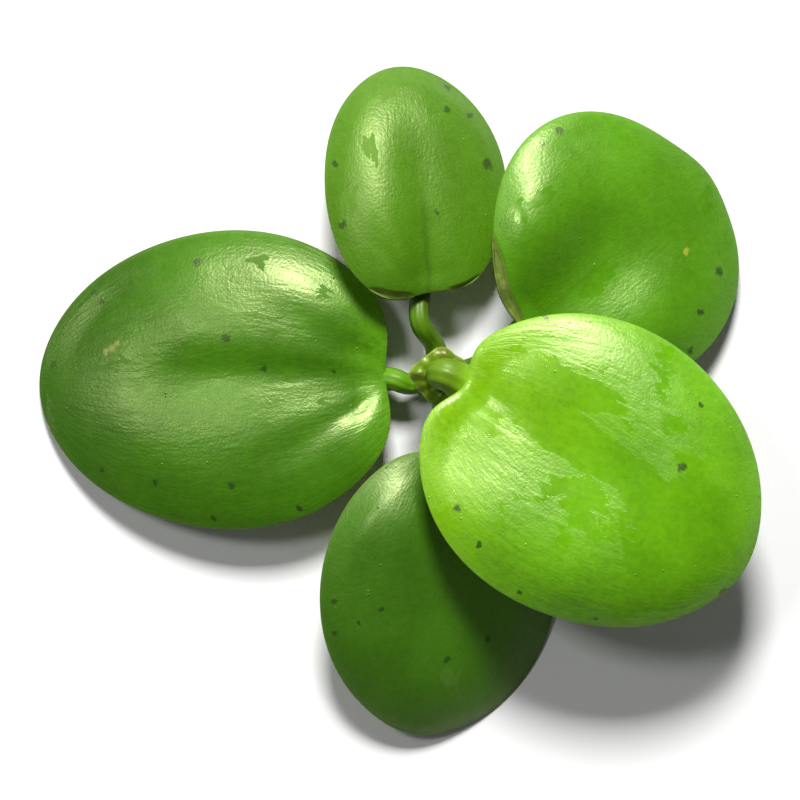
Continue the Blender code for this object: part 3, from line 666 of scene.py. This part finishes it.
def stalkFinish(name, stalk):
    finish = Finish(f"stalk_{name}_skin", {"IOR": 1.45, "Specular Tint": (1.0, 1.0, 0.8)})
    around = finish.node("ShaderNodeUVMap", {"uv_map": "stalkPlace"}, {})
    lines = finish.node("ShaderNodeMapping", {}, {"Vector": around, "Scale": (26, 2.0, 1)})
    lines = finish.mottle(1.0, 3, lines)
    broad = finish.fade(finish.mottle(0.45, 3), 0.35, 0.65)
    green = finish.mix(broad * 0.55 + lines * 0.45, stalk["deep"], stalk["light"])
    length = finish.node("ShaderNodeSeparateXYZ", {}, {0: around}, "Y")
    green = finish.mix(finish.fade(length, 0.62, 0.84), green, stalk["end"])
    finish.relief(lines * 0.03 + finish.mottle(3.5, 3) * 0.02)
    rough = 0.44 + (finish.mottle(0.9, 2) - 0.5) * 0.2
    finish.feed(finish.shader, {"Base Color": green, "Roughness": rough})
    return finish


def makeStalk(name, stalk, leaf):
    path = stalkPath(stalk, leaf, stalkForm["rings"], stalkForm["intoCrown"], stalk["intoLeaf"])
    path = evenPath(path, stalkForm["rings"], stalkForm["passes"])
    for k, place in enumerate(path):
        place.z -= stalk["dip"] * float(smoothStep((k / (len(path) - 1) - 0.40) / 0.50))

    def radius(along, turn):
        thick = stalk["radius"] + (stalk["leafRadius"] - stalk["radius"]) * along
        thick += stalkForm["foot"] * math.exp(-((along / stalkForm["footEnd"]) ** 2))
        thick += stalk["flare"] * math.exp(-(((0.9 - along) / stalkForm["flareFrom"]) ** 2))
        thick *= 1 + stalkForm["ribHeight"] * math.cos(stalkForm["ribs"] * turn)
        end = max(0, (along - 1 + stalkForm["round"]) / stalkForm["round"])
        closing = math.sqrt(max(0, 1 - end**2))
        return thick * closing * min(1, math.sqrt(along / 0.02))

    shape = tubeShape(path, radius, stalkForm["sides"], "stalkPlace")
    finishPiece(f"leafStalk_{name}", shape, stalkFinish(name, stalk), f"stalk_{name}")


for stalkName, stalkValues in stalks.items():
    makeStalk(stalkName, stalkValues, leaves[stalkName])
print("stalks made")


# The crown is a turned stem with faint rings, where older leaves grew.
crown = {
    "topRadius": 1.15, "baseRadius": 1.45, "steps": 72, "ring": 0.05, "rings": 5.0, "lumps": 0.06,
    "deep": (0.110, 0.150, 0.018), "light": (0.230, 0.290, 0.060), "brown": (0.120, 0.085, 0.030),
}


def crownFinish():
    finish = Finish("crown_skin", {"IOR": 1.45})
    broad = finish.fade(finish.mottle(0.7, 4), 0.35, 0.65)
    colour = finish.mix(broad, crown["deep"], crown["light"])
    scar = finish.fade(finish.mottle(1.6, 4), 0.56, 0.68)
    colour = finish.mix(scar * 0.7, colour, crown["brown"])
    finish.relief(finish.mottle(2.5, 5) * 0.08)
    finish.feed(finish.shader, {"Base Color": colour, "Roughness": 0.45 + finish.mottle(1.2, 2) * 0.25})
    return finish


def makeCrown():
    profile = [
        (0, crownHeight), (crown["topRadius"] * 0.8, crownHeight), (crown["topRadius"], crownHeight - 0.2),
        (crownRadius * 0.7, crownHeight * 0.86), (crownRadius * 0.97, crownHeight * 0.7),
        (crownRadius, crownHeight * 0.5), (crownRadius * 0.94, crownHeight * 0.22),
        (crown["baseRadius"], 0.12), (crown["baseRadius"] - 0.12, 0), (0, 0),
    ]
    shape = bmesh.new()
    corners = [shape.verts.new((radius * mm, 0, height * mm)) for radius, height in profile]
    edges = [shape.edges.new(pair) for pair in zip(corners, corners[1:])]
    bmesh.ops.subdivide_edges(shape, edges=edges, cuts=5)
    bmesh.ops.spin(
        shape, geom=shape.verts[:] + shape.edges[:], cent=(0, 0, 0), axis=(0, 0, 1),
        angle=2 * math.pi, steps=crown["steps"], use_merge=True)
    bmesh.ops.remove_doubles(shape, verts=shape.verts, dist=0.002 * mm)
    for vertex in shape.verts:
        place = vertex.co / mm
        outward = Vector((place.x, place.y, 0))
        if outward.length > 0.1 and place.z > 0.15:
            swell = crown["ring"] * math.sin(place.z * crown["rings"])
            swell += crown["lumps"] * noise.noise(place * 1.3)
            vertex.co += outward.normalized() * (swell - crown["ring"]) * mm
    bmesh.ops.recalc_face_normals(shape, faces=shape.faces)
    finishPiece("crownStem", shape, crownFinish(), "crown")


makeCrown()
print("crown made")


# The sheath is a thin skin round the newest stalk. Its wall is drawn out into soft corners, and from
# there it folds inward to a lip that hugs the stalk.
sheath = {
    "centre": (0.22, 0.12, 4.0), "wall": 0.14, "footRadius": 2.0, "rimRadius": 2.12, "bulge": 0.12,
    "lowRim": 2.5, "highRim": 3.9, "highSide": 110, "corner": 0.5, "corners": (28, 84, 172, 264),
    "cornerSpread": 24, "sides": 160, "rings": 60, "ruffle": 0.07,
    "wallShare": 0.62, "lipCentre": (0.50, 0.02), "lipRadius": 1.18, "lipHeight": 3.9, "fold": 0.25,
    "deep": (0.115, 0.215, 0.004), "light": (0.190, 0.340, 0.012), "rim": (0.420, 0.520, 0.140),
    "brown": (0.120, 0.090, 0.020),
}


def sheathFinish():
    finish = Finish("sheath_skin", {
        "IOR": 1.42, "Specular Tint": (1.0, 1.0, 0.6), "Subsurface Weight": 0.25,
        "Subsurface Scale": 0.4 * mm, "Subsurface Radius": (0.6, 1.0, 0.2)})
    around = finish.node("ShaderNodeUVMap", {"uv_map": "sheathPlace"}, {})
    up = finish.node("ShaderNodeSeparateXYZ", {}, {0: around}, "Y")
    lines = finish.node("ShaderNodeMapping", {}, {"Vector": around, "Scale": (60, 3, 1)})
    lines = finish.mottle(1.0, 3, lines)
    colour = finish.mix(finish.mottle(0.8, 3) * 0.6 + lines * 0.4, sheath["deep"], sheath["light"])
    stain = finish.fade(finish.mottle(0.6, 3), 0.52, 0.64) * finish.fade(up, 0.3, 0.6)
    colour = finish.mix(stain * 0.6, colour, sheath["brown"])
    fold = (up - sheath["wallShare"]) / 0.035
    rim = finish.fade(up + (finish.mottle(1.2, 2) - 0.5) * 0.06, 0.93, 0.99)
    rim = rim.atLeast(math.e ** (fold * fold * -1) * finish.fade(finish.mottle(0.9, 2), 0.35, 0.6))
    colour = finish.mix(rim * 0.6, colour, sheath["rim"])
    finish.relief(lines * 0.04 + finish.mottle(2.5, 3) * 0.03)
    clear = 0.95 - finish.fade(up, 0.55, 0.75) * 0.15
    finish.feed(finish.shader, {"Base Color": colour, "Roughness": 0.22 + lines * 0.15, "Alpha": clear})
    return finish


def makeSheath():
    shape = bmesh.new()
    shape.loops.layers.uv.new("sheathPlace")
    bmesh.ops.create_grid(
        shape, x_segments=sheath["sides"], y_segments=sheath["rings"], size=1, calc_uvs=True)
    for vertex in shape.verts:
        turn = (vertex.co.x + 1) * math.pi
        up = min(1, (vertex.co.y + 1) / 2 / sheath["wallShare"])
        inward = max(0, (vertex.co.y + 1) / 2 - sheath["wallShare"]) / (1 - sheath["wallShare"])
        side = 0.5 + 0.5 * math.cos(turn - math.radians(sheath["highSide"]))
        corner = 0
        for azimuth in sheath["corners"]:
            away = (turn - math.radians(azimuth) + math.pi) % (2 * math.pi) - math.pi
            corner += math.exp(-((away / math.radians(sheath["cornerSpread"])) ** 2))
        height = sheath["lowRim"] + (sheath["highRim"] - sheath["lowRim"]) * side
        height += sheath["ruffle"] * math.sin(11 * turn) * up**3
        radius = sheath["footRadius"] + (sheath["rimRadius"] - sheath["footRadius"]) * up
        radius += sheath["bulge"] * math.sin(math.pi * up) + sheath["corner"] * corner * up**2
        waves = noise.noise(Vector((3 * math.cos(turn), 3 * math.sin(turn), 2 * up)))
        radius += sheath["ruffle"] * waves * up
        place = Vector((radius * math.cos(turn), radius * math.sin(turn), height * up))
        place += Vector(sheath["centre"])
        lip = Vector((*sheath["lipCentre"], sheath["centre"][2] + (height + sheath["lipHeight"]) / 2))
        lip += Vector((math.cos(turn), math.sin(turn), 0)) * sheath["lipRadius"]
        place = place.lerp(lip, inward)
        place.z += sheath["fold"] * math.sin(math.pi * inward) * (0.4 + corner)
        vertex.co = place * mm
    bmesh.ops.remove_doubles(shape, verts=shape.verts, dist=0.002 * mm)
    bmesh.ops.recalc_face_normals(shape, faces=shape.faces)
    piece = finishPiece("stipuleSheath", shape, sheathFinish(), "sheath")
    wall = piece.modifiers.new("wall", "SOLIDIFY")
    wall.thickness = sheath["wall"] * mm
    wall.offset = -1


makeSheath()
print("sheath made")


# The roots lie in a fan beneath the raised leaf, with short side hairs over their outer half.
roots = {
    "count": 8, "first": (-74, -52), "last": (6, 6), "rows": (0.0, 1.15),
    "startRadius": 0.28, "hairRadius": 0.48, "endRadius": 0.16, "hairsFrom": 0.3, "hairsFull": 0.65,
    "lengths": (17.0, 19.5, 22.0, 24.0, 22.8, 23.6, 21.0, 18.5),
    "sway": 2.2, "turnedBy": 0.45, "downBy": 0.24, "points": 60, "sides": 12,
    "core": (0.24, 0.09), "hairs": 420, "hairThick": 0.022,
    "pale": (0.560, 0.520, 0.330), "tan": (0.330, 0.270, 0.140), "tip": (0.420, 0.470, 0.200),
}


def rootRadius(along):
    hairy = smoothStep((along - roots["hairsFrom"]) / (roots["hairsFull"] - roots["hairsFrom"]))
    end = smoothStep((along - roots["hairsFull"]) / (1 - roots["hairsFull"]))
    radius = roots["startRadius"] + (roots["hairRadius"] - roots["startRadius"]) * hairy
    return radius + (roots["endRadius"] - radius) * end


def rootPath(number):
    share = number / (roots["count"] - 1)
    first = math.radians(roots["first"][0] + (roots["last"][0] - roots["first"][0]) * share)
    last = math.radians(roots["first"][1] + (roots["last"][1] - roots["first"][1]) * share)
    row = roots["rows"][number % 2]
    foot = crownRadius + gap if row else crown["baseRadius"] + 2 * gap
    path = []
    for k in range(roots["points"]):
        along = k / (roots["points"] - 1)
        turn = first + (last - first) * smoothStep(along / roots["turnedBy"])
        turn += math.radians(roots["sway"]) * math.sin(2.5 * math.pi * along + number) * along
        reach = foot + roots["lengths"][number] * along
        height = rootRadius(along) + row * (1 - smoothStep(along / roots["downBy"]))
        path.append(Vector((reach * math.cos(turn), reach * math.sin(turn), height)))
    return path


def rootFinish():
    finish = Finish("root_skin", {"IOR": 1.4})
    colour = finish.mix(finish.fade(finish.mottle(0.5, 3), 0.35, 0.7), roots["pale"], roots["tan"])
    colour = finish.mix(finish.fade(finish.mottle(0.25, 2), 0.5, 0.7) * 0.5, colour, roots["tip"])
    finish.relief(finish.mottle(5.0, 3) * 0.02)
    finish.feed(finish.shader, {"Base Color": colour, "Roughness": 0.5 + finish.mottle(1.5, 2) * 0.2})
    return finish


def makeRoot(number, finish):
    path = rootPath(number)
    inward = (path[0] - path[1]).normalized()
    path = [path[0] + inward * 0.8, path[0] + inward * 0.4, *path]
    thick, thin = roots["core"]

    def radius(along, turn):
        body = thick + (thin - thick) * along
        body *= 1 + 0.08 * noise.noise(Vector((along * 30, number, 0)))
        return body * min(1, math.sqrt(max(0, 1 - along) / 0.02)) * min(1, math.sqrt(along / 0.01))

    shape = tubeShape(path, radius, roots["sides"], "rootPlace")
    for k in range(roots["hairs"]):
        along = 0.12 + 0.87 * random.random()
        position = along * (roots["points"] - 1)
        place = path[int(position) + 2]
        ahead = (path[min(int(position) + 3, len(path) - 1)] - place).normalized()
        across = ahead.orthogonal().normalized()
        spun = Matrix.Rotation(random.uniform(0, 2 * math.pi), 3, ahead) @ across
        lean = (spun + ahead * random.uniform(-0.3, 0.7)).normalized()
        reach = float(rootRadius(along)) * random.uniform(0.7, 0.98)
        middle = place + lean * reach / 2
        if middle.z + lean.z * reach / 2 < 0.01:
            continue
        turned = lean.to_track_quat("Z", "Y").to_matrix().to_4x4()
        bmesh.ops.create_cone(
            shape, segments=3, radius1=roots["hairThick"] * mm, radius2=0.2 * roots["hairThick"] * mm,
            depth=reach * mm, matrix=Matrix.Translation(middle * mm) @ turned, cap_ends=True)
    finishPiece(f"rootThread_{number + 1}", shape, finish, f"root_{number + 1}")


rootSkin = rootFinish()
for rootNumber in range(roots["count"]):
    makeRoot(rootNumber, rootSkin)
print("roots made")


# The floor, the soft light and the camera, which looks straight down.
stage = {
    "floorSize": 3.0, "floorColour": (0.86, 0.86, 0.85), "sky": (0.95, 0.98, 1.0), "skyPower": 0.10,
    "cameraPlace": (-3.2, -1.9, 356.0), "focal": 181.0, "sensor": 36.0,
    "lamps": {
        "keySoftbox": {
            "azimuth": 91, "height": 46, "distance": 0.60, "width": 0.15, "depth": 0.14, "power": 5.5},
        "westSoftbox": {
            "azimuth": 150, "height": 57, "distance": 0.60, "width": 0.12, "depth": 0.12, "power": 0.80},
    },
}


def makeFloor():
    shape = bmesh.new()
    bmesh.ops.create_grid(shape, x_segments=1, y_segments=1, size=stage["floorSize"] / 2)
    for vertex in shape.verts:
        vertex.co.z = -0.02 * mm
    mesh = bpy.data.meshes.new("paleFloor")
    shape.to_mesh(mesh)
    shape.free()
    finish = Finish("floor_paper", {})
    shade = finish.mix(finish.mottle(0.02, 2), stage["floorColour"], [0.98 * c for c in stage["floorColour"]])
    finish.feed(finish.shader, {"Base Color": shade, "Roughness": 0.8})
    mesh.materials.append(finish.material)
    floor = bpy.data.objects.new("paleFloor", mesh)
    bpy.context.scene.collection.objects.link(floor)


def makeLamp(name, lamp):
    light = bpy.data.lights.new(name, "AREA")
    light.shape = "RECTANGLE"
    light.size = lamp["width"]
    light.size_y = lamp["depth"]
    light.energy = lamp["power"]
    made = bpy.data.objects.new(name, light)
    away = heading(lamp["azimuth"], lamp["height"])
    made.location = away * lamp["distance"]
    made.rotation_euler = away.to_track_quat("Z", "Y").to_euler()
    bpy.context.scene.collection.objects.link(made)


def makeCamera():
    lens = bpy.data.cameras.new("camera")
    lens.lens = stage["focal"]
    lens.sensor_width = stage["sensor"]
    lens.clip_start = 0.01
    made = bpy.data.objects.new("camera", lens)
    made.location = Vector(stage["cameraPlace"]) * mm
    bpy.context.scene.collection.objects.link(made)
    bpy.context.scene.camera = made


def makeSky():
    world = bpy.data.worlds.new("softSky")
    world.use_nodes = True
    world.node_tree.nodes["Background"].inputs["Color"].default_value = (*stage["sky"], 1)
    world.node_tree.nodes["Background"].inputs["Strength"].default_value = stage["skyPower"]
    bpy.context.scene.world = world
    bpy.context.scene.view_settings.view_transform = "Standard"


makeFloor()
for lampName, lampValues in stage["lamps"].items():
    makeLamp(lampName, lampValues)
makeCamera()
makeSky()
print("stage made")
